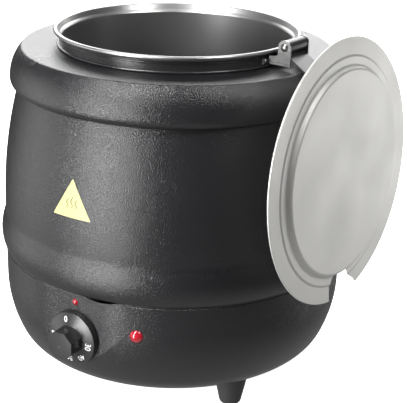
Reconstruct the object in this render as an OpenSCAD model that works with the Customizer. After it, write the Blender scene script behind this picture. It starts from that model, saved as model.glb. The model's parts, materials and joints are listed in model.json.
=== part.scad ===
// Electric soup kettle: a black bell-shaped casing with a heated well, a lift-out stainless pot with a
// black neck ring, and a stainless lid that hangs from a two-pivot hinge strap.
// Millimetres, +Z up. The origin is on the kettle's axis, in the plane of its feet.
// The hinge lies on +X. The controls face -Y, turned a few degrees towards +X.

/* [Pot] */
// Inner radius of the pot
pot_r = 110.2; // [109.9:0.1:110.3]
// Height of the rim's crest
rim_z = 342; // [341:0.5:343]
// Height of the pot's floor
pot_floor_z = 82; // [80:1:95]
// Sheet thickness of the pot and the well
pot_t = 0.8; // [0.6:0.1:0.8]

/* [Casing] */
// Height of the collar's flat top
collar_z = 325.6; // [325.2:0.1:325.8]
// Sheet thickness of the casing
case_t = 1.2; // [1:0.1:1.4]
// Largest radius of the collar
collar_r = 160.1; // [159:0.1:161]
// Radius of the base drum
base_r = 168.6; // [168.4:0.1:169]
// Height of the casing's underside
base_z = 28.5; // [28:0.5:30]
// Distance of the flat control panel from the axis
panel_y = 163.5; // [162.5:0.5:164]
// Turn of the controls away from -Y, in degrees
front_turn = 4.2; // [0:0.1:8]

/* [Controls] */
// Height of the temperature knob
knob_z = 82; // [81:0.5:90]
// Radius of the knob's skirt
knob_r = 26; // [25:0.5:27]
// Height of the small lamp
power_lamp_z = 116.5; // [115:0.5:118]
// Height of the large lamp
heat_lamp_z = 97; // [96:1:104]
// Turn of the large lamp from the control panel's middle, in degrees
heat_lamp_turn = 21.9; // [20:0.1:30]

/* [Hinge] */
// Distance of the upper pin from the axis
pin_x = 129.5; // [129.4:0.1:129.8]
// Height of the upper pin above the rim
pin_up = 3.5; // [3.4:0.1:3.6]
// Distance between the strap's two pins
strap_l = 65.31; // [65.2:0.01:65.4]
// Slope of the strap with the lid open, in degrees
strap_drop = 41.39; // [41:0.01:42]
// Turn of the lid from closed to open, in degrees
lid_open = 267; // [266.5:0.5:267]
// Half width of the strap
strap_w = 13.8; // [12:0.1:13.8]

/* [Lid] */
// Radius of the lid
lid_r = 121.8; // [121.5:0.1:121.9]
// Sheet thickness of the lid
lid_t = 1; // [0.8:0.1:1]
// Gap between the closed lid and the rim's crest
lid_gap = 1.6; // [1.5:0.1:1.8]
// Height of the lower pin above the lid's flange
lid_pin_up = 5; // [4.9:0.1:5.2]

/* [Feet] */
// Distance of the feet from the axis
foot_ring_r = 126; // [124:1:127]
// Radius of a foot at the casing
foot_top_r = 16.5; // [15:0.5:17]
// Radius of a foot at the floor
foot_r = 10; // [9:0.5:11]

/* [Hidden] */

fine = 128;
mid = 48;

// Casing curves, each as a centre and a radius in the half section
shoulder_arc_r = 42;
shoulder = [collar_r - shoulder_arc_r, collar_z - 29.3];
crest_arc_r = 3;
crest_drop = collar_z - crest_arc_r - shoulder[1];
crest = [shoulder[0] + sqrt(pow(shoulder_arc_r - crest_arc_r, 2) - pow(crest_drop, 2)),
    collar_z - crest_arc_r];
crest_angle = atan2(crest_drop, crest[0] - shoulder[0]);
curl_arc_r = 9;
curl = [collar_r - curl_arc_r, shoulder[1]];
curl_angle = -75;
barrel_arc_r = 443.5;
barrel = [-275.2, 172];
barrel_top_angle = 15.43;
barrel_low_angle = -0.7;
lip_arc_r = 3;
lip = [barrel[0] + (barrel_arc_r - lip_arc_r) * cos(barrel_top_angle),
    barrel[1] + (barrel_arc_r - lip_arc_r) * sin(barrel_top_angle)];
lip_r = 138;
flare_arc_r = 17;
flare = [185.3, 166];
bulge_arc_r = 40;
bulge = [132.6, 144];
bulge_angle = 22;
tongue_r = 168;
tongue_z = 139;
hem_z = 128.1;
base_bend_z = 96;
drum_arc_r = 120;
drum = [base_r - drum_arc_r, base_bend_z];
drum_angle = -24.6;
heel_arc_r = base_z + 1.5;
heel = [drum[0] + (drum_arc_r - heel_arc_r) * cos(drum_angle),
    drum[1] + (drum_arc_r - heel_arc_r) * sin(drum_angle)];
floor_z = heel[1] - heel_arc_r;
hatch_r = 100;
plate_r = 108;
plate_screw_r = 104;
plate_screw_turns = [40, 140, 220, 320];

// Pot, neck ring and well
pot_corner_r = 15;
pot_out = pot_r + pot_t;
bead_arc_r = 2;
bead = [pot_r + 6, rim_z - bead_arc_r];
cone_low = [pot_out, rim_z - 8.7];
cone_mid = [pot_out + 1.95, rim_z - 6.15];
cone_top = [bead[0] + bead_arc_r * cos(-145), bead[1] + bead_arc_r * sin(-145)];
ring_in = pot_out + 0.8;
ring_out = ring_in + 1.4;
ring_bead_r = 1;
ring_foot_r = 1.3;
collar_hole_r = pot_out + 0.9;
well_r = pot_out + 7;
well_out = well_r + pot_t;
well_floor_z = pot_floor_z - pot_t - 10;
well_flange_r = 128;
sleeve_t = 6.5;

// Heater and controls
heater_r = 95;
heater_t = 5;
heater_z = well_floor_z - pot_t - heater_t;
element_r = 74;
element_tube_r = 4;
element_span = 310;
clip_turns = [60, 180, 300];
panel_in = panel_y - case_t;
panel_blend_r = 70;
panel_half_w = sqrt(pow(base_r - panel_blend_r, 2) - pow(panel_y - panel_blend_r, 2));
panel_blend_turn = atan2(panel_half_w, panel_y - panel_blend_r);
bracket_t = 1.5;
thermostat = [26, 24, 34];
terminal_x = -28;
spindle_r = 3;
spindle_bore_r = 3.05;
spindle_bore_l = 18;
screw_x = 16.5;
skirt_h = 6;
grip_z = 9.5;
grip_h = 15;
grip_flats = 26.5;
gap_turn = 8.4;
gap_depth = 4.5;
gap_arc_r = 68;
lamp_hole_r = 2.4;
dome_hole_r = 5;
gland_r = 8;
gland_z = 106;
sign_side = 41;
sign_z = 200.8;
sign_t = 0.25;

// Hinge and lid
pin_r = 2.5;
knuckle_r = 6;
knuckle_bore_r = 2.56;
lid_pin_r = 2;
lid_knuckle_r = 4;
lid_bore_r = 2.06;
strap_t = 1.5;
strap_rise = 9.39;
strap_bend_l = 40;
ear_in = 14.3;
ear_t = 1.5;
ear_r = 6.5;
lid_ear_r = 5;
pin_z = rim_z + pin_up;
closed_rise = lid_gap + lid_t + lid_pin_up - pin_up;
lid_reach = pin_x - sqrt(strap_l * strap_l - closed_rise * closed_rise);
lid_under = -lid_pin_up - lid_t;
panel_drop = 5;
lid_seat = lid_under - panel_drop + lid_t;
low_pin = [pin_x + strap_l * cos(strap_drop), 0, pin_z - strap_l * sin(strap_drop)];
foot_turns = [-60, 60, 180];

// Points along an arc in the half section
function arc(c, r, a0, a1, n) =
    [for (i = [0:n]) let (a = a0 + (a1 - a0) * i / n) [c[0] + r * cos(a), c[1] + r * sin(a)]];

// A corner at b, between a and c, rounded to radius r
function unit(v) = v / norm(v);
function fillet(a, b, c, r, n) =
    let (u = unit(a - b), v = unit(c - b), half = acos(u * v) / 2,
        o = b + unit(u + v) * r / sin(half), p = b + u * r / tan(half), q = b + v * r / tan(half),
        a0 = atan2(p[1] - o[1], p[0] - o[0]), raw = atan2(q[1] - o[1], q[0] - o[0]) - a0,
        sweep = raw > 180 ? raw - 360 : raw < -180 ? raw + 360 : raw)
    [for (i = [0:n]) o + r * [cos(a0 + sweep * i / n), sin(a0 + sweep * i / n)]];

// A run of corners, each [x, z, radius], with the corners rounded where the radius is not zero
function softened(pts, n) = [for (i = [0:len(pts) - 1])
    let (p = pts[i], a = pts[max(i - 1, 0)], c = pts[min(i + 1, len(pts) - 1)])
    each p[2] == 0 ? [[p[0], p[1]]] : fillet([a[0], a[1]], [p[0], p[1]], [c[0], c[1]], p[2], n)];

module revolve(pts) { rotate_extrude($fn = fine) polygon(pts); }

// Frames: the control panel, a point on the curved wall, and the lid's own frame at its lower pin
module on_panel(x, z) {
    rotate([0, 0, front_turn]) translate([x, -panel_y, z]) rotate([90, 0, 0]) children();
}
module on_wall(turn, z) {
    rotate([0, 0, front_turn + turn]) translate([0, -base_r, z]) rotate([90, 0, 0]) children();
}
module on_strap() { translate([pin_x, 0, pin_z]) rotate([0, strap_drop, 0]) children(); }
module on_lid() { translate(low_pin) rotate([0, lid_open, 0]) children(); }
module at_feet() {
    for (turn = foot_turns) rotate([0, 0, front_turn + turn]) translate([0, -foot_ring_r, 0]) children();
}

// A plate with its outline in X and Z, and its thickness along Y from y0 to y1
module upright(y0, y1) { translate([0, y1, 0]) rotate([90, 0, 0]) linear_extrude(y1 - y0) children(); }

// A round bar along Y
module cross_bar(r, half_l) { rotate([90, 0, 0]) cylinder(r = r, h = 2 * half_l, center = true, $fn = mid); }

// A low domed head standing on z = 0
module dome_head(r, h) {
    ball = (r * r + h * h) / (2 * h);
    intersection() {
        translate([0, 0, h - ball]) sphere(r = ball, $fn = mid);
        cylinder(r = r, h = h, $fn = mid);
    }
}

// Points of a smooth curve through pts, with n steps between neighbours
function curve(pts, n) = concat([for (i = [0:len(pts) - 2])
    let (a = pts[max(i - 1, 0)], b = pts[i], c = pts[i + 1], d = pts[min(i + 2, len(pts) - 1)])
    for (j = [0:n - 1]) let (t = j / n)
        0.5 * (2 * b + (c - a) * t + (2 * a - 5 * b + 4 * c - d) * t * t + (3 * b - a - 3 * c + d) * t * t * t)],
    [pts[len(pts) - 1]]);

// Wire or tube along a smooth curve; the curve never runs along the vector flat
module wire(pts, r, flat) {
    sides = 8;
    path = curve(pts, 3);
    last = len(path) - 1;
    rings = [for (i = [0:last])
        let (along = unit(path[min(i + 1, last)] - path[max(i - 1, 0)]),
            u = unit(cross(along, flat)), v = cross(along, u))
        for (k = [0:sides - 1]) path[i] + r * (cos(k * 360 / sides) * u + sin(k * 360 / sides) * v)];
    skin = [for (i = [0:last - 1], k = [0:sides - 1]) let (m = (k + 1) % sides)
        [i * sides + k, (i + 1) * sides + k, (i + 1) * sides + m, i * sides + m]];
    polyhedron(rings, concat(skin, [[for (k = [0:sides - 1]) k],
        [for (k = [sides - 1:-1:0]) last * sides + k]]), 8);
}

// ---- Casing ----

module collar_cover() {
    color("#1d1e20") revolve(concat(
        [[collar_hole_r, collar_z]],
        arc(crest, crest_arc_r, 90, crest_angle, 5),
        arc(shoulder, shoulder_arc_r, crest_angle - 3, 0, 12),
        arc(curl, curl_arc_r, -8, curl_angle, 8),
        arc(curl, curl_arc_r - case_t, curl_angle, -8, 8),
        arc(shoulder, shoulder_arc_r - case_t, 0, crest_angle - 3, 12),
        arc(crest, crest_arc_r - case_t, crest_angle, 90, 5),
        [[collar_hole_r, collar_z - case_t]]));
}

// Brackets that hold the collar up from the barrel's inner lip
module collar_posts() {
    post_w = 14;
    low = lip[1] + lip_arc_r;
    high = collar_z - case_t;
    color("silver") for (turn = foot_turns) rotate([0, 0, turn + 30]) {
        translate([lip_r + 1, -post_w / 2, low]) cube([9, post_w, 1.5]);
        translate([lip_r + 1, -post_w / 2, low]) cube([1.5, post_w, high - low]);
        translate([lip_r - 8, -post_w / 2, high - 1.5]) cube([10.5, post_w, 1.5]);
    }
}

function barrel_skin(t) = concat(
    arc(lip, lip_arc_r - t, 90, barrel_top_angle, 5),
    arc(barrel, barrel_arc_r - t, barrel_top_angle - 0.5, barrel_low_angle, 24),
    arc(flare, flare_arc_r + t, 183, 180 + bulge_angle, 4),
    arc(bulge, bulge_arc_r - t, bulge_angle - 3, -bulge_angle, 12));

function reversed(pts) = [for (i = [len(pts) - 1:-1:0]) pts[i]];

module barrel_shell() {
    color("#1b1c1e") revolve(concat(
        [[lip_r, lip[1] + lip_arc_r]],
        barrel_skin(0),
        [[tongue_r + 0.9, hem_z], [tongue_r, hem_z], [tongue_r, hem_z + 1.4]],
        reversed(barrel_skin(case_t)),
        [[lip_r, lip[1] + lip_arc_r - case_t]]));
}

// Plan of the base, smaller by t all round: the flat panel runs smoothly into the drum at both sides
module base_plan(t) {
    centre = [panel_half_w, panel_blend_r - panel_y];
    turn = panel_blend_turn;
    bend = arc(centre, panel_blend_r - t, -90, turn - 90, 10);
    side = concat(bend, [bend[10] + 120 * [cos(turn), sin(turn)], [200, 0], [200, 200]]);
    polygon(concat(side, [for (p = reversed(side)) [-p[0], p[1]]]));
}

// The base's full shape, smaller by t all round
module base_block(t, top) {
    rotate([0, 0, front_turn]) intersection() {
        revolve(concat(
            [[0, top], [tongue_r - t, top], [tongue_r - t, hem_z - 2.1], [base_r - t, hem_z - 2.7]],
            arc(drum, drum_arc_r - t, 0, drum_angle, 12),
            arc(heel, heel_arc_r - t, drum_angle - 6, -90, 10),
            [[0, floor_z + t]]));
        linear_extrude(200) base_plan(t);
    }
}

module base_shell() {
    color("#1b1c1e") difference() {
        base_block(0, tongue_z);
        base_block(case_t, tongue_z + 1);
        translate([0, 0, floor_z - 1]) cylinder(r = hatch_r, h = case_t + 2, $fn = fine);
        on_panel(0, knob_z) translate([0, 0, -5]) cylinder(r = 4, h = 10, $fn = mid);
        for (side = [-1, 1]) on_panel(side * screw_x, knob_z) translate([0, 0, -5])
            cylinder(r = 2.1, h = 10, $fn = mid);
        on_panel(0, power_lamp_z) translate([0, 0, -5]) cylinder(r = lamp_hole_r, h = 10, $fn = mid);
        on_wall(heat_lamp_turn, heat_lamp_z) translate([0, 0, -5]) cylinder(r = dome_hole_r, h = 10, $fn = mid);
        on_wall(180, gland_z) translate([0, 0, -5]) cylinder(r = gland_r, h = 10, $fn = mid);
        at_feet() translate([0, 0, floor_z - 1]) cylinder(r = 2.7, h = case_t + 2, $fn = mid);
        for (turn = plate_screw_turns) rotate([0, 0, turn]) translate([plate_screw_r, 0, floor_z - 1])
            cylinder(r = 1.7, h = case_t + 2, $fn = mid);
        // Shallow dip in the upper edge, which leaves a narrow gap under the barrel
        rotate([0, 0, front_turn + gap_turn]) translate([0, -140, hem_z - gap_depth + gap_arc_r])
            rotate([90, 0, 0]) cylinder(r = gap_arc_r, h = 60, $fn = fine);
    }
}

module bottom_plate() {
    vent_r = 3;
    color("#2a2b2d") difference() {
        translate([0, 0, floor_z - case_t]) cylinder(r = plate_r, h = case_t, $fn = fine);
        for (turn = plate_screw_turns) rotate([0, 0, turn]) translate([plate_screw_r, 0, floor_z - case_t - 1])
            cylinder(r = 1.7, h = case_t + 2, $fn = mid);
        for (ring = [45, 58], turn = [0:24:336]) rotate([0, 0, turn]) translate([ring, 0, floor_z - case_t - 1])
            cylinder(r = vent_r, h = case_t + 2, $fn = mid);
    }
}

module bottom_screws() {
    color("silver") for (turn = plate_screw_turns) rotate([0, 0, turn])
        translate([plate_screw_r, 0, floor_z - case_t]) {
            cylinder(r = 1.7, h = 7, $fn = mid);
            rotate([180, 0, 0]) dome_head(3.2, 1.8);
        }
}

module foot() {
    color("#141414") difference() {
        rotate_extrude($fn = mid) polygon(concat(
            softened([[0, 0, 0], [foot_r, 0, 4.5], [foot_top_r, floor_z + 3, 0]], 5),
            [[0, floor_z + 3]]));
        translate([0, 0, -1]) cylinder(r = 4.2, h = 11, $fn = mid);
        cylinder(r = 2.7, h = 60, $fn = mid);
    }
}

module foot_at(turn) {
    difference() {
        rotate([0, 0, front_turn + turn]) translate([0, -foot_ring_r, 0]) foot();
        base_block(0, tongue_z);
    }
}

module front_left_foot() { foot_at(foot_turns[0]); }
module front_right_foot() { foot_at(foot_turns[1]); }
module rear_foot() { foot_at(foot_turns[2]); }

module foot_screws() {
    color("silver") at_feet() {
        translate([0, 0, 6.5]) cylinder(r = 3.9, h = 3.5, $fn = mid);
        translate([0, 0, 9]) cylinder(r = 2.5, h = 28, $fn = mid);
        translate([0, 0, floor_z + case_t]) cylinder(r = 4.6, h = 4, $fn = 6);
    }
}

// ---- Well and heater ----

module well_liner() {
    corner = 12;
    color("#b9bcbe") revolve(concat(
        [[0, well_floor_z]],
        arc([well_r - corner, well_floor_z + corner], corner, -90, 0, 6),
        [[well_r, collar_z - case_t - pot_t - 1.5], [well_r + 1.5, collar_z - case_t],
            [well_flange_r, collar_z - case_t], [well_flange_r, collar_z - case_t - pot_t],
            [well_out + 1.2, collar_z - case_t - pot_t], [well_out, collar_z - case_t - pot_t - 1.5]],
        arc([well_r - corner, well_floor_z + corner], corner + pot_t, 0, -90, 6),
        [[0, well_floor_z - pot_t]]));
}

// Glass-wool sleeve round the well
module insulation_sleeve() {
    color("#d9c27a") difference() {
        translate([0, 0, well_floor_z + 8]) cylinder(r = well_out + 0.5 + sleeve_t, h = 238, $fn = fine);
        translate([0, 0, well_floor_z + 7]) cylinder(r = well_out + 0.5, h = 240, $fn = fine);
    }
}

module heater_plate() {
    color("#c9cccf") translate([0, 0, heater_z]) cylinder(r = heater_r, h = heater_t, $fn = fine);
}

// Tubular element pressed to the heater plate, with its two ends turned down
module heating_element() {
    tube_z = heater_z - element_tube_r;
    color("#6b6f73") translate([0, 0, tube_z]) rotate([0, 0, 115 + front_turn]) {
        rotate_extrude(angle = element_span, $fn = fine) translate([element_r, 0]) circle(r = element_tube_r, $fn = mid);
        for (end = [0, element_span]) rotate([0, 0, end]) translate([element_r, 0, 0]) {
            sphere(r = element_tube_r, $fn = mid);
            translate([0, 0, -14]) cylinder(r = element_tube_r, h = 14, $fn = mid);
            translate([0, 0, -20]) cylinder(r = 1.5, h = 8, $fn = mid);
        }
    }
}

module element_clips() {
    low = heater_z - 2 * element_tube_r;
    color("silver") for (turn = clip_turns) rotate([0, 0, turn]) {
        translate([element_r - 18, -5, low - 1.2]) cube([26, 10, 1.2]);
        translate([element_r - 13, 0, low]) cylinder(r = 4, h = 2 * element_tube_r, $fn = mid);
        translate([element_r - 13, 0, low - 1.2]) rotate([180, 0, 0]) dome_head(3.5, 2.2);
    }
}

module thermal_cutout() {
    color("#8a8d90") translate([-22, 10, 0]) {
        translate([0, 0, heater_z - 7]) cylinder(r = 9, h = 7, $fn = mid);
        translate([0, 0, heater_z - 11]) cylinder(r = 6, h = 4, $fn = mid);
        for (side = [-1, 1]) translate([side * 3.2 - 0.4, -2.4, heater_z - 18]) cube([0.8, 4.8, 7]);
    }
}

bulb_r = 3;
bulb_z = heater_z - bulb_r;
module sensor_bulb() {
    color("#b8824a") rotate([0, 0, front_turn]) translate([0, -20, bulb_z]) cross_bar(bulb_r, 22);
}

// Fine tube from the bulb to the back of the thermostat
module capillary_tube() {
    back = panel_in - bracket_t - thermostat[1];
    color("#b8824a") rotate([0, 0, front_turn]) wire([[0, -42, bulb_z], [0, -60, bulb_z - 5], [3, -98, bulb_z - 7],
        [6, -122, bulb_z - 2], [6, 9 - back, 78], [6, 0.4 - back, 80]], 0.9, [1, 0, 0]);
}

// ---- Controls ----

module thermostat_body() {
    color("#3a332c") on_panel(0, knob_z) difference() {
        translate([-thermostat[0] / 2, -thermostat[2] / 2, -case_t - bracket_t - thermostat[1]])
            cube([thermostat[0], thermostat[2], thermostat[1]]);
        translate([0, 0, -case_t - bracket_t - spindle_bore_l])
            cylinder(r = spindle_bore_r, h = spindle_bore_l + 1, $fn = mid);
    }
}

module thermostat_bracket() {
    color("silver") on_panel(0, knob_z) difference() {
        translate([-20, -15, -case_t - bracket_t]) cube([40, 30, bracket_t]);
        translate([0, 0, -10]) cylinder(r = 4, h = 20, $fn = mid);
        for (side = [-1, 1]) translate([side * screw_x, 0, -10]) cylinder(r = 2, h = 20, $fn = mid);
    }
}

module thermostat_screws() {
    color("silver") for (side = [-1, 1]) on_panel(side * screw_x, knob_z) {
        dome_head(3, 1);
        translate([0, 0, -7]) cylinder(r = 2, h = 7, $fn = mid);
        translate([0, 0, -5.7]) cylinder(r = 3.3, h = 3, $fn = 6);
    }
}

module thermostat_spindle() {
    color("silver") on_panel(0, knob_z) translate([0, 0, -case_t - bracket_t - spindle_bore_l + 0.5])
        cylinder(r = spindle_r, h = case_t + bracket_t + spindle_bore_l + 13, $fn = mid);
}

// Skirt with a conical dial face, hollow underneath over the bracket's screws
module knob_skirt() {
    hub = spindle_r + 0.8;
    root = grip_flats / 2 + 0.8;
    color("#17181a") on_panel(0, knob_z) rotate_extrude($fn = fine) polygon(softened([
        [hub, 1.8, 0], [knob_r - 3, 1.8, 0], [knob_r - 3, 0.6, 0], [knob_r, 0.6, 0], [knob_r - 0.5, skirt_h, 0.6],
        [root, grip_z, 0], [hub, grip_z, 0]], 3));
}

// Eight-sided finger grip with a crowned top
module knob_grip() {
    crown_r = 160;
    top = grip_z + grip_h;
    color("#17181a") on_panel(0, knob_z) difference() {
        intersection() {
            rotate([0, 0, 22.5]) translate([0, 0, grip_z]) cylinder(r = grip_flats / 2 / cos(22.5), h = grip_h, $fn = 8);
            translate([0, 0, top - crown_r]) sphere(r = crown_r, $fn = fine);
        }
        cylinder(r = spindle_bore_r, h = 14, $fn = mid);
    }
}

module power_lamp() {
    color("red") on_panel(0, power_lamp_z) {
        translate([0, 0, -2]) cylinder(r = lamp_hole_r, h = 2, $fn = mid);
        dome_head(3.2, 2);
    }
}

module power_lamp_holder() {
    color("#e8e4da") on_panel(0, power_lamp_z) {
        translate([0, 0, -case_t - 3]) difference() {
            cylinder(r = 4.4, h = 3, $fn = mid);
            translate([0, 0, -1]) cylinder(r = lamp_hole_r, h = 5, $fn = mid);
        }
        translate([0, 0, -20]) cylinder(r = lamp_hole_r, h = 18, $fn = mid);
    }
}

module heat_lamp() {
    color("red") on_wall(heat_lamp_turn, heat_lamp_z) {
        translate([0, 0, -2]) cylinder(r = dome_hole_r, h = 2, $fn = mid);
        dome_head(6.2, 3.6);
    }
}

module heat_lamp_holder() {
    color("#e8e4da") on_wall(heat_lamp_turn, heat_lamp_z) {
        translate([0, 0, -case_t - 4.2]) difference() {
            cylinder(r = 7.5, h = 4, $fn = mid);
            translate([0, 0, -1]) cylinder(r = dome_hole_r, h = 6, $fn = mid);
        }
        translate([0, 0, -24]) cylinder(r = dome_hole_r, h = 22, $fn = mid);
        for (side = [-1, 1]) translate([side * 2.5 - 0.4, -2.4, -32]) cube([0.8, 4.8, 8]);
    }
}

// Ceramic block on the casing's floor at the rear, beside the cable entry
module terminal_block() {
    color("#e8e4da") rotate([0, 0, front_turn]) difference() {
        translate([terminal_x - 18, 108, floor_z + case_t]) cube([36, 18, 16]);
        for (x = [-12, 0, 12]) translate([terminal_x + x, 117, floor_z + case_t + 6])
            cylinder(r = 2.6, h = 20, $fn = mid);
    }
}

module terminal_screws() {
    color("#c9a24a") rotate([0, 0, front_turn]) for (x = [-12, 0, 12])
        translate([terminal_x + x, 117, floor_z + case_t + 6]) cylinder(r = 2.2, h = 8, $fn = mid);
}

module earth_stud() {
    color("#c9a24a") rotate([0, 0, front_turn]) translate([34, 112, floor_z + case_t]) {
        cylinder(r = 2.5, h = 16, $fn = mid);
        cylinder(r = 5, h = 4, $fn = 6);
        translate([0, 0, 6]) cylinder(r = 5, h = 4, $fn = 6);
    }
}

// Single-core leads between the terminals, the element, the thermostat and the lamp
module inner_leads() {
    top = floor_z + case_t + 14;
    color("#a33b2b") rotate([0, 0, front_turn]) {
        wire([[terminal_x - 12, 107.3, top - 6], [terminal_x - 13, 98, top - 5], [-100, 66, 50],
            [-132, 4, 60], [-112, -76, 62], [-50, -130, 68], [-13, -146, 76]], 1.3, [0, 0, 1]);
        wire([[terminal_x + 12, 107.3, top - 6], [terminal_x + 14, 98, top - 5], [40, 90, top],
            [106, 64, 50], [134, 0, 62], [116, -76, 70], [82, -116, 82]], 1.3, [0, 0, 1]);
    }
}

module cable_gland() {
    color("#151515") on_wall(180, gland_z) difference() {
        union() {
            translate([0, 0, -16]) cylinder(r = gland_r, h = 16, $fn = mid);
            cylinder(r = 12, h = 5, $fn = 6);
            rotate_extrude($fn = mid) polygon([[0, 4], [9.5, 4], [9.5, 10], [7, 15], [0, 15]]);
        }
        translate([0, 0, -20]) cylinder(r = 3.6, h = 40, $fn = mid);
    }
}

module gland_nut() {
    color("#151515") on_wall(180, gland_z) translate([0, 0, -case_t - 5.4]) difference() {
        cylinder(r = 12, h = 5, $fn = 6);
        translate([0, 0, -1]) cylinder(r = gland_r, h = 7, $fn = mid);
    }
}

// Triangular sign on the barrel, a thin skin that follows the barrel's curve
module heat_sign() {
    h = sign_side * sin(60);
    color("gold") rotate([0, 0, front_turn]) intersection() {
        difference() {
            revolve(concat([[0, 290]], arc(barrel, barrel_arc_r + sign_t, 14, 1, 24), [[0, 174]]));
            revolve(concat([[0, 290]], arc(barrel, barrel_arc_r, 15, 0.5, 30), [[0, 170]]));
        }
        translate([0, -120, sign_z]) rotate([90, 0, 0]) linear_extrude(80) polygon(softened([
            [0, 0, 0], [sign_side / 2, 0, 0.5], [0, h, 0.5], [-sign_side / 2, 0, 0.5], [0, 0, 0]], 5));
    }
}

// ---- Pot and neck ring ----

module soup_pot() {
    inner = [pot_r - pot_corner_r, pot_floor_z + pot_corner_r];
    color("#c4c6c8") revolve(concat(
        [[0, pot_floor_z]],
        arc(inner, pot_corner_r, -90, 0, 8),
        [[pot_r, rim_z - 8.5], [pot_r + 0.75, rim_z - 7.2], [pot_r + 2, rim_z - 5.6]],
        arc(bead, bead_arc_r, 151, -145, 14),
        [cone_mid, cone_low],
        arc(inner, pot_corner_r + pot_t, 0, -90, 8),
        [[0, pot_floor_z - pot_t]]));
}

module neck_ring() {
    ring_foot = [ring_out + 0.7, collar_z + ring_foot_r];
    ring_bead = [ring_out, cone_mid[1] - 0.95];
    step_up = (cone_top[1] - cone_mid[1]) / (cone_top[0] - cone_mid[0]);
    step_low = (cone_mid[1] - cone_low[1]) / (cone_mid[0] - cone_low[0]);
    color("#19191b") difference() {
        revolve(concat(
            [[ring_in, collar_z]],
            arc(ring_foot, ring_foot_r, -90, 90, 8),
            [[ring_out, collar_z + 2 * ring_foot_r]],
            arc(ring_bead, ring_bead_r, -90, 80, 8),
            [[ring_out, cone_mid[1] + step_up * (ring_out - cone_mid[0])], cone_mid,
                [ring_in, cone_low[1] + step_low * (ring_in - cone_low[0])]]));
        rivet_axes() translate([0, 0, -5]) cylinder(r = 1.5, h = 10, $fn = mid);
    }
}

// ---- Hinge ----

bracket_low = collar_z + 3.2;
bracket_high = cone_mid[1] - 2.25;
bracket_half_w = 22;
rivet_y = 19;

// Radial axes of the two bracket rivets, at the bracket's outer face
module rivet_axes() {
    for (side = [-1, 1]) rotate([0, 0, side * asin(rivet_y / ring_out)])
        translate([ring_out + ear_t, 0, (bracket_low + bracket_high) / 2]) rotate([0, 90, 0]) children();
}

module hinge_bracket() {
    outline = concat(
        [[ring_out - 0.2, bracket_low], [pin_x + ear_r, bracket_low]],
        arc([pin_x, pin_z], ear_r, 0, 180, 16),
        [[pin_x - ear_r, rim_z - 4], [bead[0] + 3.6, rim_z - 5.4], [ring_out + 0.9, rim_z - 6],
            [ring_out + 0.9, bracket_high], [ring_out - 0.2, bracket_high]]);
    color("#a9acae") difference() {
        union() {
            intersection() {
                difference() {
                    cylinder(r = ring_out + ear_t, h = bracket_high, $fn = fine);
                    translate([0, 0, -1]) cylinder(r = ring_out, h = bracket_high + 2, $fn = fine);
                }
                translate([0, -bracket_half_w, bracket_low])
                    cube([200, 2 * bracket_half_w, bracket_high - bracket_low]);
            }
            for (y = [-ear_in - ear_t, ear_in]) difference() {
                upright(y, y + ear_t) polygon(outline);
                cylinder(r = ring_out, h = bracket_high + 1, $fn = fine);
            }
        }
        translate([pin_x, 0, pin_z]) cross_bar(pin_r, 30);
        rivet_axes() translate([0, 0, -5]) cylinder(r = 1.5, h = 10, $fn = mid);
    }
}

module bracket_rivets() {
    color("#b5b8ba") rivet_axes() {
        translate([0, 0, ring_in - ring_out - ear_t]) cylinder(r = 1.5, h = ring_out + ear_t - ring_in, $fn = mid);
        dome_head(2.6, 1.3);
    }
}

module hinge_pin() {
    color("#b5b8ba") translate([pin_x, 0, pin_z]) {
        cross_bar(pin_r, ear_in + ear_t);
        for (side = [-1, 1]) translate([0, side * (ear_in + ear_t), 0]) rotate([-side * 90, 0, 0]) dome_head(3.8, 1.8);
    }
}

// Bent plate between two rolled knuckles
module hinge_strap() {
    start = knuckle_r * [sin(strap_rise), -cos(strap_rise)];
    bend = start + strap_bend_l * [cos(strap_rise), sin(strap_rise)];
    low_dir = unit([strap_l, 0] - bend);
    up1 = strap_t * [-sin(strap_rise), cos(strap_rise)];
    up2 = strap_t * [-low_dir[1], low_dir[0]];
    color("#202123") on_strap() difference() {
        union() {
            cross_bar(knuckle_r, strap_w);
            translate([strap_l, 0, 0]) cross_bar(lid_knuckle_r, strap_w);
            upright(-strap_w, strap_w) polygon([start, bend, [strap_l, 0], [strap_l, 0] + up2,
                bend + (up1 + up2) / 2, start + up1]);
        }
        cross_bar(knuckle_bore_r, 30);
        translate([strap_l, 0, 0]) cross_bar(lid_bore_r, 30);
    }
}

// ---- Lid, drawn closed in its own frame: the lower pin at the origin, the pot's axis at -lid_reach ----

module lid_disc() {
    band_r = 104;
    band_drop = 0.8;
    pan_r = 94;
    hem = [lid_r - 2.2, lid_r - 0.6];
    color("#c9c9c6") on_lid() translate([-lid_reach, 0, lid_under]) difference() {
        revolve(softened([
            [0, -panel_drop, 0], [pan_r, -panel_drop, 3], [pan_r + 2.5, -band_drop, 3],
            [band_r, -band_drop, 2], [band_r + 2, 0, 2], [hem[1], 0, 0], [lid_r, 0.6, 0], [lid_r, 1.6, 0],
            [hem[1], 2.2, 0], [hem[0], 2.2, 0], [hem[0], lid_t, 0], [band_r + 2, lid_t, 3],
            [band_r, lid_t - band_drop, 1], [pan_r + 1.9, lid_t - band_drop, 2], [pan_r - 0.6, lid_t - panel_drop, 4],
            [0, lid_t - panel_drop, 0]], 4));
        // Ladle notch in the edge away from the hinge
        translate([0, 0, -20]) linear_extrude(40) polygon(softened([
            [-lid_r - 6, -18.5, 0], [-104, -19.5, 6], [-95.3, -14, 3], [-95.3, 10.5, 2], [-104, 14.5, 6],
            [-113.5, 28, 8], [-lid_r - 6, 42, 0]], 5));
    }
}

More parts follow.
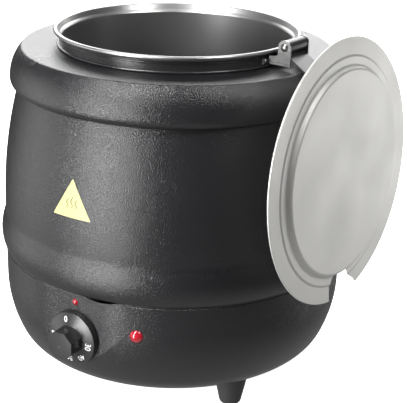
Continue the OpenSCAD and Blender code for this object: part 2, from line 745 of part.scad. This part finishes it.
// Two angle ears welded on the lid's top, one at each side of the strap
module lid_ears() {
    color("#b5b8ba") on_lid() difference() {
        for (side = [-1, 1]) {
            upright(min(side * ear_in, side * (ear_in + ear_t)), max(side * ear_in, side * (ear_in + ear_t)))
                polygon(concat([[-9, lid_seat], [9, lid_seat]], arc([0, 0], lid_ear_r, -20, 200, 16)));
            translate([-9, side > 0 ? ear_in : -ear_in - 12, lid_seat]) cube([18, 12, ear_t]);
        }
        cross_bar(lid_pin_r, 30);
    }
}

module lid_pin() {
    color("#b5b8ba") on_lid() {
        cross_bar(lid_pin_r, ear_in + ear_t);
        for (side = [-1, 1]) translate([0, side * (ear_in + ear_t), 0]) rotate([-side * 90, 0, 0]) dome_head(3.2, 1.5);
    }
}

module on_lid_centre() { on_lid() translate([-lid_reach, 0, lid_seat]) children(); }

module lid_knob() {
    color("#17181a") on_lid_centre() difference() {
        rotate_extrude($fn = mid) polygon(concat([[0, 1]], softened([[9, 1, 0], [8, 6, 2], [15.5, 12, 3],
            [14.5, 17, 3], [0, 18, 0]], 4)));
        cylinder(r = 3, h = 10, $fn = mid);
    }
}

module lid_knob_washer() {
    color("#b5b8ba") on_lid_centre() difference() {
        cylinder(r = 10, h = 1, $fn = mid);
        translate([0, 0, -1]) cylinder(r = 3, h = 3, $fn = mid);
    }
}

module lid_knob_stud() { color("#b5b8ba") on_lid_centre() cylinder(r = 3, h = 9.5, $fn = mid); }

collar_cover();
collar_posts();
barrel_shell();
base_shell();
bottom_plate();
bottom_screws();
well_liner();
insulation_sleeve();
heater_plate();
heating_element();
element_clips();
thermal_cutout();
sensor_bulb();
capillary_tube();
thermostat_body();
thermostat_bracket();
thermostat_screws();
power_lamp();
power_lamp_holder();
heat_lamp();
heat_lamp_holder();
terminal_block();
terminal_screws();
earth_stud();
inner_leads();
cable_gland();
gland_nut();
heat_sign();
front_left_foot();
front_right_foot();
rear_foot();
foot_screws();
soup_pot();
neck_ring();
hinge_bracket();
bracket_rivets();
hinge_pin();
hinge_strap();
lid_disc();
lid_ears();
lid_pin();
lid_knob();
lid_knob_stud();
lid_knob_washer();
knob_skirt();
knob_grip();
thermostat_spindle();
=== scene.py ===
import json
import math

import bpy
from mathutils import Matrix, Vector


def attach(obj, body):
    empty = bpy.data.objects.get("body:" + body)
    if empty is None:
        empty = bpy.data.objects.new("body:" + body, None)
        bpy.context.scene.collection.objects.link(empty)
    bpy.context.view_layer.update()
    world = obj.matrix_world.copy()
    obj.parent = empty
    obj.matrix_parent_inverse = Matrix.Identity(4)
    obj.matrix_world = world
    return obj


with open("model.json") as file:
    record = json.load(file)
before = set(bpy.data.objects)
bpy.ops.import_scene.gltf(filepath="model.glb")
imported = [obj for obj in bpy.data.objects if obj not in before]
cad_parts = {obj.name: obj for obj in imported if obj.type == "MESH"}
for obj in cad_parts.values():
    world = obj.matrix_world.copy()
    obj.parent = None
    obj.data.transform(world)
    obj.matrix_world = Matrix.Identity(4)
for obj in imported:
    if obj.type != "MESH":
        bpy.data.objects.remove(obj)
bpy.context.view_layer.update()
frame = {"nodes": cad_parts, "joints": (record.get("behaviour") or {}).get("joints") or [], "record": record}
mm = 0.001
upright = Vector((0, 0, 1))
white = (1, 1, 1, 1)
noiseMiddle = (0.3, 0.7)    # where most of a noise pattern's values lie
bpy.context.scene.view_settings.view_transform = "Standard"


def towards(heading, height):
    # a unit vector; degrees from +X on the floor, and degrees up from it
    a, e = math.radians(heading), math.radians(height)
    return Vector((math.cos(a) * math.cos(e), math.sin(a) * math.cos(e), math.sin(e)))


def standing(x, y, z, place):
    # the matrix of a thing whose own axes lie along x, y and z
    return Matrix.Translation(place) @ Matrix((x, y, z)).transposed().to_4x4()


cameraSet = {
    "place": (0.6324, -0.8393, 0.5736),
    "heading": 125.4,
    "downTilt": 21.3,
    "roll": 1.72,
    "lens": 98.5,
    "filmWidth": 36,
}


def addCamera(s):
    heading, roll = math.radians(s["heading"]), math.radians(s["roll"])
    ahead = towards(s["heading"], -s["downTilt"])
    right = Vector((math.sin(heading), -math.cos(heading), 0))
    up = right.cross(ahead)
    c, d = math.cos(roll), math.sin(roll)
    right, up = right * c + up * d, up * c - right * d
    data = bpy.data.cameras.new("camera")
    data.lens = s["lens"]
    data.sensor_width = s["filmWidth"]
    camera = bpy.data.objects.new("camera", data)
    bpy.context.scene.collection.objects.link(camera)
    camera.matrix_world = standing(right, up, -ahead, s["place"])
    bpy.context.scene.camera = camera


addCamera(cameraSet)
print("camera placed")


class Wire:
    # a socket that can be used in sums and products
    def __init__(self, shade, socket):
        self.shade = shade
        self.socket = socket

    def __add__(self, other):
        return self.shade.math("ADD", self, other)

    def __mul__(self, other):
        return self.shade.math("MULTIPLY", self, other)

    __radd__ = __add__
    __rmul__ = __mul__


class Shade:
    def __init__(self, name, **fixed):
        self.material = bpy.data.materials.new(name)
        self.material.use_nodes = True
        self.tree = self.material.node_tree
        self.bsdf = self.tree.nodes["Principled BSDF"]
        for socket, value in fixed.items():
            self.bsdf.inputs[socket.replace("_", " ")].default_value = value

    # any node: settings first, then the values or links of its sockets; gives the named output
    def add(self, kind, settings, sockets, output=0):
        node = self.tree.nodes.new(kind)
        for name, value in settings.items():
            setattr(node, name, value)
        for name, value in sockets.items():
            if isinstance(value, Wire):
                self.tree.links.new(value.socket, node.inputs[name])
            else:
                node.inputs[name].default_value = value
        return Wire(self, node.outputs[output])

    def math(self, operation, a, b):
        return self.add("ShaderNodeMath", {"operation": operation}, {0: a, 1: b})

    def place(self, scale=(1, 1, 1), turn=(0, 0, 0)):
        coords = self.add("ShaderNodeTexCoord", {}, {}, "Object")
        return self.add("ShaderNodeMapping", {}, {"Vector": coords, "Scale": scale, "Rotation": turn})

    def noise(self, scale, detail=2.0, where=None, rough=0.5):
        sockets = {"Vector": where or self.place(), "Scale": scale, "Detail": detail, "Roughness": rough}
        return self.add("ShaderNodeTexNoise", {}, sockets)

    def span(self, value, low, high, to0=0.0, to1=1.0):
        sockets = {"Value": value, "From Min": low, "From Max": high, "To Min": to0, "To Max": to1}
        return self.add("ShaderNodeMapRange", {}, sockets)

    # a roughness that follows a pattern from a little smoother to a little rougher
    def uneven(self, pattern, rough, smoother, rougher):
        return self.span(pattern, *noiseMiddle, rough - smoother, rough + rougher)

    def mix(self, factor, a, b):
        a, b = ((*c, 1) if isinstance(c, tuple) else c for c in (a, b))
        return self.add("ShaderNodeMix", {"data_type": "RGBA"}, {0: factor, 6: a, 7: b}, 2)

    def bump(self, height, strength, distance):
        sockets = {"Height": height, "Strength": strength, "Distance": distance}
        return self.add("ShaderNodeBump", {}, sockets)

    def drive(self, **wires):
        for socket, wire in wires.items():
            self.tree.links.new(wire.socket, self.bsdf.inputs[socket.replace("_", " ")])
        return self.material


def toned(tone, factor, lift=0):
    return tuple(c * factor + lift for c in tone)


# in the looks below a pattern's number is its noise scale, so a larger one is finer

enamelLook = {
    "specular": 0.55,
    "clouds": 9,
    "cloudTone": 1.25,
    "fleckFiner": 1.7,      # the flecks' scale against the grain's
    "fleckShows": (0.62, 0.78),
    "fleckTone": (1.9, 0.01),
    "fleckRough": 0.05,
    "roughSpread": (0.03, 0.04),
    "peelDepth": 0.5 * mm,
}


def stoveEnamel(name, tone, rough, speckle, grain, texture=0.22):
    # black baked paint with a fine orange-peel grain and faint dust-like flecks
    k = enamelLook
    s = Shade(name, Specular_IOR_Level=k["specular"])
    peel = s.noise(grain, 0.0)
    cloud = s.noise(k["clouds"], 3.0)
    fleck = s.span(s.noise(grain * k["fleckFiner"], 1.0), *k["fleckShows"])
    clouded = s.mix(cloud, tone, toned(tone, k["cloudTone"]))
    colour = s.mix(fleck * speckle, clouded, toned(tone, *k["fleckTone"]))
    roughness = s.uneven(cloud, rough, *k["roughSpread"]) + fleck * k["fleckRough"]
    return s.drive(Base_Color=colour, Roughness=roughness, Normal=s.bump(peel, texture, k["peelDepth"]))


turnedLook = {
    "rings": {"Scale": 420.0, "Distortion": 3.0, "Detail": 2.0, "Detail Scale": 6.0},
    "ringDepth": 0.1 * mm,
    "clouds": 14,
    "cloudDark": 0.2,
    "smudges": 5,
    "smudgeShows": (0.45, 0.7),
    "smudgeDark": 0.3,
    "smudgeRough": 0.06,
    "darkest": 0.84,
    "roughSpread": (0.04, 0.05),
}


def turnedSteel(name, tone, rough, axisTurn=(0, 0, 0), lines=0.05, smear=0.5, metal=1.0):
    # satin stainless: fine rings about an axis, broken up a little, with soft handling marks
    k = turnedLook
    s = Shade(name, Metallic=metal)
    rings = s.add("ShaderNodeTexWave", {"wave_type": "RINGS", "rings_direction": "Z"},
                  {"Vector": s.place(turn=axisTurn), **k["rings"]})
    cloud = s.noise(k["clouds"], 4.0)
    smudge = s.span(s.noise(k["smudges"], 5.0, rough=0.65), *k["smudgeShows"])
    dark = smudge * smear * k["smudgeDark"] + cloud * k["cloudDark"]
    colour = s.mix(dark, tone, toned(tone, k["darkest"]))
    roughness = s.uneven(cloud, rough, *k["roughSpread"]) + smudge * k["smudgeRough"] * smear
    return s.drive(Base_Color=colour, Roughness=roughness, Normal=s.bump(rings, lines, k["ringDepth"]))


sheetLook = {
    "grain": 160,
    "grainShows": 0.08,
    "grainDepth": 0.1 * mm,
    "clouds": 30,
    "darkest": 0.8,
    "roughSpread": (0.06, 0.07),
}


def sheetSteel(name, tone, rough, along=(1, 1, 40)):
    # plain rolled or plated steel with grain in one direction
    k = sheetLook
    s = Shade(name, Metallic=1.0)
    grain = s.noise(k["grain"], 3.0, s.place(scale=along))
    cloud = s.noise(k["clouds"], 3.0)
    return s.drive(Base_Color=s.mix(cloud, tone, toned(tone, k["darkest"])),
                   Roughness=s.uneven(grain, rough, *k["roughSpread"]),
                   Normal=s.bump(grain, k["grainShows"], k["grainDepth"]))


plasticLook = {
    "specular": 0.5,
    "clouds": 25,
    "cloudTone": (1.35, 0.002),
    "roughSpread": (0.04, 0.06),
    "grainDepth": 0.2 * mm,
}


def mouldedPlastic(name, tone, rough, grain=500, depth=0.06):
    k = plasticLook
    s = Shade(name, Specular_IOR_Level=k["specular"])
    fine = s.noise(grain, 2.0)
    cloud = s.noise(k["clouds"], 3.0)
    return s.drive(Base_Color=s.mix(cloud, tone, toned(tone, *k["cloudTone"])),
                   Roughness=s.uneven(cloud, rough, *k["roughSpread"]),
                   Normal=s.bump(fine, depth, k["grainDepth"]))


lensLook = {
    "fixed": {"Coat_Weight": 0.6, "Coat_Roughness": 0.04, "Subsurface_Weight": 0.2, "Subsurface_Scale": 2 * mm,
              "Emission_Strength": 0.12},
    "frost": 420,
    "frostShows": 0.08,
    "frostDepth": 0.2 * mm,
    "rough": (0.12, 0.2),
    "rimBlend": 0.35,
    # the rim tone is painted shade, darker where the bezel shades the lens
    "paintedRimShadeTones": ((0.36, 0.008, 0.018), (0.12, 0.002, 0.006)),    # the middle, then the rim
    "glows": ((0.55, 0.02, 0.03), (0.05, 0.0, 0.0)),
}


def redLens(name):
    # clear red lens with a little frosting: deep red, its colour painted lighter in the middle and darker toward
    # the rim by how squarely it is seen, a painted shade of the bezel at the rim; its lamp glow is also stronger
    # in the middle
    k = lensLook
    s = Shade(name, **k["fixed"])
    frost = s.noise(k["frost"], 2.0)
    rimShadeAndGlowFade = s.add("ShaderNodeLayerWeight", {}, {"Blend": k["rimBlend"]}, "Facing")
    # base colour painted darker toward the rim by the facing angle: painted shade; the glow fades the same way
    return s.drive(Base_Color=s.mix(rimShadeAndGlowFade, *k["paintedRimShadeTones"]),
                   Emission_Color=s.mix(rimShadeAndGlowFade, *k["glows"]),
                   Roughness=s.span(frost, *noiseMiddle, *k["rough"]),
                   Normal=s.bump(frost, k["frostShows"], k["frostDepth"]))


woolLook = {
    "rough": 0.95,
    "fibres": 90,
    "fibreStretch": (1, 1, 9),
    "tufts": 30,
    "darkest": 0.55,
    "pileShows": 0.7,
    "pileDepth": 2 * mm,
}


def fibreWool(name, tone):
    k = woolLook
    s = Shade(name, Roughness=k["rough"])
    fibres = s.noise(k["fibres"], 6.0, s.place(scale=k["fibreStretch"]), 0.7)
    tufts = s.noise(k["tufts"], 4.0)
    return s.drive(Base_Color=s.mix(fibres, tone, toned(tone, k["darkest"])),
                   Normal=s.bump(fibres + tufts, k["pileShows"], k["pileDepth"]))


vinylLook = {
    "specular": 0.5,
    "sheen": 60,
    "rough": (0.38, 0.5),
    "dots": 1500,
    "dotShows": (0.4, 0.7),
    "dotDark": 0.25,
    "darkest": 0.86,
    "dotHeight": 0.05,
    "dotDepth": 0.1 * mm,
}


def printedVinyl(name, tone):
    k = vinylLook
    s = Shade(name, Specular_IOR_Level=k["specular"])
    sheen = s.noise(k["sheen"], 3.0)
    dots = s.noise(k["dots"], 1.0)
    colour = s.mix(s.span(dots, *k["dotShows"]) * k["dotDark"], tone, toned(tone, k["darkest"]))
    return s.drive(Base_Color=colour, Roughness=s.span(sheen, *noiseMiddle, *k["rough"]),
                   Normal=s.bump(dots, k["dotHeight"], k["dotDepth"]))


inkLook = {
    "specular": 0.4,
    "wear": 900,
    "wearShows": (0.52, 0.75),
    "wearDark": 0.45,
    "darkest": 0.6,
    "rough": (0.45, 0.6),
}


def printedInk(name, tone):
    # thin screen-printed ink, a little worn
    k = inkLook
    s = Shade(name, Specular_IOR_Level=k["specular"])
    worn = s.span(s.noise(k["wear"], 3.0), *k["wearShows"])
    return s.drive(Base_Color=s.mix(worn * k["wearDark"], tone, toned(tone, k["darkest"])),
                   Roughness=s.span(worn, 0, 1, *k["rough"]))


# each finish: its name, tone and roughness, then what sets it apart
finishes = {
    "casing_black": stoveEnamel("casingEnamel", (0.008, 0.008, 0.009), 0.29,
                                speckle=0.5, grain=1250, texture=0.62),
    "bottom_black": stoveEnamel("bottomEnamel", (0.03, 0.03, 0.032), 0.45, speckle=0.4, grain=800),
    "neck_black": stoveEnamel("neckEnamel", (0.018, 0.018, 0.019), 0.24, speckle=0.3, grain=1200),
    "strap_black": stoveEnamel("strapEnamel", (0.02, 0.02, 0.021), 0.28, speckle=0.3, grain=1100),
    "stainless_pot": turnedSteel("potSteel", (0.38, 0.38, 0.377), 0.34),
    "stainless_lid": turnedSteel("lidSteel", (0.6, 0.595, 0.575), 0.55,
                                 axisTurn=(0, math.radians(-87), 0), smear=0.1, metal=0.8),
    "stainless_well": turnedSteel("wellSteel", (0.5, 0.5, 0.49), 0.4),
    "hinge_steel": sheetSteel("hingeSteel", (0.3, 0.3, 0.296), 0.3),
    "zinc": sheetSteel("zincPlate", (0.66, 0.68, 0.7), 0.28),
    "glass_wool": fibreWool("glassWool", (0.78, 0.66, 0.34)),
    "heater_aluminium": sheetSteel("heaterCasting", (0.7, 0.71, 0.72), 0.5, along=(1, 1, 1)),
    "element_steel": sheetSteel("elementSheath", (0.22, 0.21, 0.2), 0.45),
    "copper": sheetSteel("copperTube", (0.8, 0.42, 0.25), 0.3),
    "phenolic": mouldedPlastic("phenolicBody", (0.07, 0.035, 0.02), 0.45),
    "knob_black": mouldedPlastic("knobPlastic", (0.016, 0.016, 0.017), 0.3),
    "lamp_red": redLens("lampRed"),
    "ceramic": mouldedPlastic("ceramicGlaze", (0.75, 0.72, 0.64), 0.25, grain=200),
    "brass": sheetSteel("brassBright", (0.85, 0.62, 0.3), 0.3),
    "lead_sleeve": mouldedPlastic("leadSleeve", (0.38, 0.05, 0.03), 0.5),
    "gland_black": mouldedPlastic("glandNylon", (0.02, 0.02, 0.02), 0.5, grain=300, depth=0.15),
    "sign_yellow": printedVinyl("signYellow", (0.5, 0.47, 0.21)),
    "foot_rubber": mouldedPlastic("footRubber", (0.018, 0.018, 0.018), 0.6, grain=260, depth=0.25),
}
slotOf = {row["node"]: row["material_slot"] for row in frame["record"]["subparts"]}
for nodeName, nodeObject in frame["nodes"].items():
    nodeObject.data.materials.clear()
    nodeObject.data.materials.append(finishes[slotOf[nodeName]])
print("finishes assigned:", len(finishes))


def lieOn(piece, node, offset):
    # lays a flat mesh on a CAD node along the mesh's own Z, then puts its place into its mesh
    bpy.ops.object.select_all(action="DESELECT")
    piece.select_set(True)
    bpy.context.view_layer.objects.active = piece
    wrap = piece.modifiers.new("wrap", "SHRINKWRAP")
    wrap.target = frame["nodes"][node]
    wrap.wrap_method = "PROJECT"
    wrap.use_project_z = True
    wrap.use_negative_direction = True
    wrap.use_positive_direction = True
    wrap.cull_face = "BACK"
    wrap.offset = offset
    bpy.ops.object.modifier_apply(modifier="wrap")
    bpy.ops.object.transform_apply(location=True, rotation=True, scale=True)


dial = {
    # degrees from the right, seen from the front
    "numbers": {"0": 105, "30": -7, "40": -52, "50": -95, "60": -138, "80": 183},
    "ring": 19.6 * mm,
    "letterSize": 7.616 * mm,
    "bolder": 0.03 * mm,
    "curveSteps": 4,
    "stand": 9 * mm,        # how far out from the joint the flat numbers start
    "lift": 0.12 * mm,
    "ink": (0.82, 0.82, 0.8),
}


def dialNumbers(s):
    joint = next(j for j in frame["joints"] if j["name"] == "knob_turn")
    centre = Vector(joint["pos_m"])
    out = Vector(joint["axis"]).normalized()
    across = upright.cross(out).normalized()
    made = []
    for word, angle in s["numbers"].items():
        a = math.radians(angle)
        up = across * math.cos(a) + upright * math.sin(a)
        bpy.ops.object.select_all(action="DESELECT")
        bpy.ops.object.text_add()
        text = bpy.context.object
        text.data.body = word
        text.data.size = s["letterSize"]
        text.data.align_x = "CENTER"
        text.data.align_y = "CENTER"
        text.data.offset = s["bolder"]
        text.data.resolution_u = s["curveSteps"]
        bpy.ops.object.convert(target="MESH")
        text.matrix_world = standing(up.cross(out), up, out, centre + up * s["ring"] + out * s["stand"])
        bpy.context.view_layer.update()
        lieOn(text, "knob_skirt", s["lift"])
        made.append(text)
    bpy.ops.object.select_all(action="DESELECT")
    for text in made:
        text.select_set(True)
    bpy.context.view_layer.objects.active = made[0]
    bpy.ops.object.join()
    numbers = bpy.context.object
    numbers.name = "dialNumbers"
    numbers.data.materials.clear()
    numbers.data.materials.append(printedInk("dialInk", s["ink"]))
    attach(numbers, "knob")


signMarks = {
    "turn": 4.2,            # degrees round the casing, as the controls
    "foot": 209.5 * mm,     # height of the waves' lower ends
    "gap": 4.6 * mm,
    "tall": 10.5 * mm,
    "outerTall": 0.82,      # the outer waves' height against the middle one's
    "sway": 0.85 * mm,
    "bends": 1.25,
    "wide": 1.05 * mm,
    "tipWide": 0.35,        # least width, against the middle's
    "tipBlunt": 0.06,       # the share of the length at each end that stays at one width
    "tipCurve": 0.5,
    "stand": 190 * mm,      # how far out from the kettle's axis the flat waves start
    "lift": 0.08 * mm,
    "steps": 22,
    "ink": (0.12, 0.11, 0.04),
}


def heatWaves(s):
    # three rising waves, drawn flat in front of the sign and laid on it
    points = []
    faces = []
    for row in (-1, 0, 1):
        tall = s["tall"] * (1 if row == 0 else s["outerTall"])
        start = len(points)
        for i in range(s["steps"] + 1):
            t = i / s["steps"]
            x = row * s["gap"] + s["sway"] * math.sin(2 * math.pi * t * s["bends"])
            inner = min(max(t, s["tipBlunt"]), 1 - s["tipBlunt"])
            swell = math.sin(math.pi * inner) ** s["tipCurve"]
            half = s["wide"] / 2 * (s["tipWide"] + (1 - s["tipWide"]) * swell)
            points += [(x - half, tall * t, 0), (x + half, tall * t, 0)]
            if i:
                k = start + 2 * i
                faces.append((k - 2, k - 1, k + 1, k))
    mesh = bpy.data.meshes.new("heatWaves")
    mesh.from_pydata(points, [], faces)
    waves = bpy.data.objects.new("heatWaves", mesh)
    bpy.context.scene.collection.objects.link(waves)
    a = math.radians(s["turn"])
    out = Vector((math.sin(a), -math.cos(a), 0))
    across = Vector((math.cos(a), math.sin(a), 0))
    waves.matrix_world = standing(across, upright, out, out * s["stand"] + upright * s["foot"])
    bpy.context.view_layer.update()
    lieOn(waves, "heat_sign", s["lift"])
    waves.data.materials.append(printedInk("signInk", s["ink"]))
    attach(waves, "casing")


dialNumbers(dial)
heatWaves(signMarks)
print("printing laid on")

studio = {
    "floorTone": (0.9, 0.9, 0.9),
    "floorDark": 0.98,
    "floorClouds": 3,
    "floorRough": 0.8,
    "floorSpecular": 0.2,
    "floorSize": 180,
    "floorGlow": 1.0,
    "world": 0.07,
    "below": 0.55,          # the sky's strength from under the kettle, as a white table would give
    "belowHeights": (-0.75, -0.3),    # it fades to the world's own between these, -1 being straight down
    # each light: heading and height in degrees seen from the kettle, distance, width, height, watts
    "lights": {
        "leftSoftbox": (-98, 0, 1.7, 0.4, 1.6, 42),
        "farLeftPanel": (-150, -4, 2.0, 1.6, 1.5, 15),
        "leftUpper": (-98, 50, 1.8, 0.4, 0.9, 34),
        "rightStrip": (-8, 50, 1.9, 0.35, 0.8, 14),
        "backPanel": (125, 30, 2.4, 3.4, 1.4, 95),
        "overhead": (60, 78, 2.4, 2.0, 2.0, 10),
        "lidCard": (62, -8, 1.3, 1.6, 0.6, 6.5),
    },
    "aim": (0, 0, 0.2),
}


def addFloor(s):
    bpy.ops.object.select_all(action="DESELECT")
    bpy.ops.mesh.primitive_plane_add(size=s["floorSize"], location=(0, 0, 0))
    floor = bpy.context.object
    floor.name = "floor"
    shade = Shade("paleFloor", Roughness=s["floorRough"], Specular_IOR_Level=s["floorSpecular"],
                  Emission_Color=white, Emission_Strength=s["floorGlow"])
    clouds = shade.noise(s["floorClouds"], 3.0)
    tone = shade.mix(clouds, s["floorTone"], toned(s["floorTone"], s["floorDark"]))
    floor.data.materials.append(shade.drive(Base_Color=tone))
    floor.visible_glossy = False    # the white floor stays out of the dark gloss
    floor.visible_diffuse = False
    floor.visible_shadow = False


def addWorld(s):
    world = bpy.data.worlds.new("studio")
    world.use_nodes = True
    tree = world.node_tree
    sky = tree.nodes["Background"]
    sky.inputs["Color"].default_value = white
    coords = tree.nodes.new("ShaderNodeTexCoord")
    split = tree.nodes.new("ShaderNodeSeparateXYZ")
    fade = tree.nodes.new("ShaderNodeMapRange")
    low, high = s["belowHeights"]
    for socket, value in (("From Min", low), ("From Max", high), ("To Min", s["below"]), ("To Max", s["world"])):
        fade.inputs[socket].default_value = value
    tree.links.new(coords.outputs["Generated"], split.inputs[0])
    tree.links.new(split.outputs["Z"], fade.inputs["Value"])
    tree.links.new(fade.outputs[0], sky.inputs["Strength"])
    bpy.context.scene.world = world


def addLights(s):
    aim = Vector(s["aim"])
    for name, (heading, height, distance, wide, tall, watts) in s["lights"].items():
        data = bpy.data.lights.new(name, "AREA")
        data.shape = "RECTANGLE"
        data.size = wide
        data.size_y = tall
        data.energy = watts
        light = bpy.data.objects.new(name, data)
        light.location = aim + distance * towards(heading, height)
        light.visible_camera = False
        light.rotation_euler = (aim - light.location).to_track_quat("-Z", "Y").to_euler()
        bpy.context.scene.collection.objects.link(light)


addFloor(studio)
addWorld(studio)
addLights(studio)
print("studio lit")
